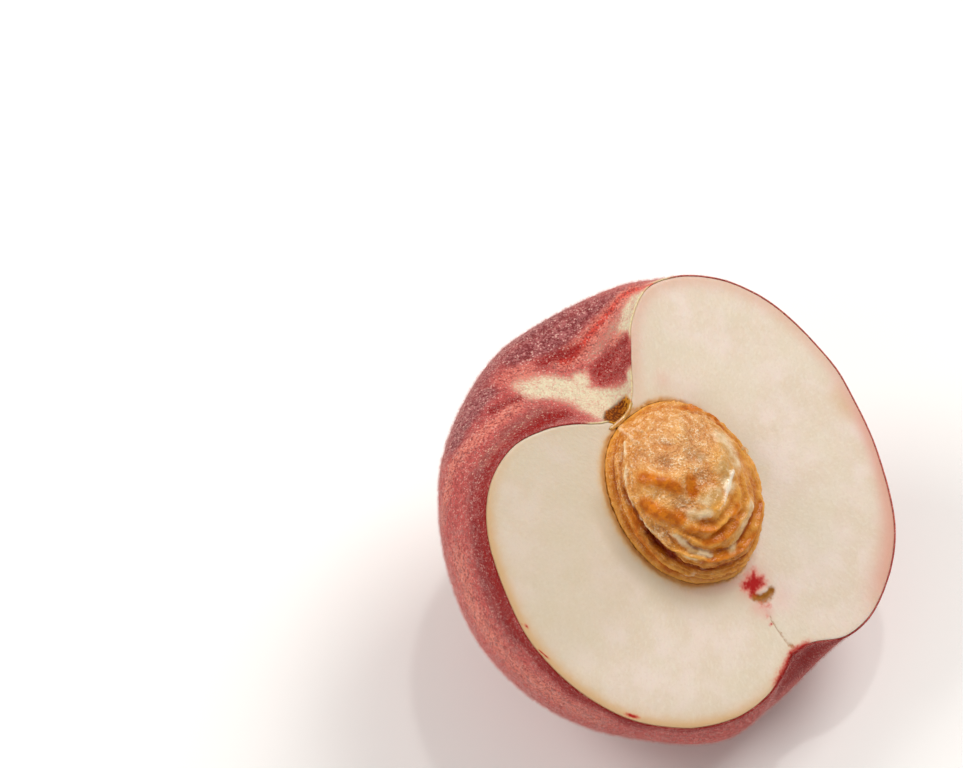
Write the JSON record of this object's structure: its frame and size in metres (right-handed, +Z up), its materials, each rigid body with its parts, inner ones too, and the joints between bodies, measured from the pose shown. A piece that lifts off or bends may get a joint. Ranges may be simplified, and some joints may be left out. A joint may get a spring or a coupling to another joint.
{
  "type": "halved white peach",
  "caption": "Half of a white peach, cut flat along its seam, with downy red skin, pale flesh and the ridged stone in its bed. It lies on its back.",
  "frame": {"origin": "middle of the flat spot on the back that the half lies on", "axes": "+Z up, away from the surface it lies on; -Y is the side that the cut face leans towards; +X is to the right seen from there"},
  "size_m": [0.0732, 0.0732, 0.0534],
  "materials": {
    "skin": "downy, mottled red and cream",
    "flesh": "moist, finely fibrous",
    "stone": "wet, ridged and pitted"
  },
  "bodies": {
    "root": {"skin": "skin", "flesh": "flesh", "stone": "stone"}
  },
  "joints": []
}
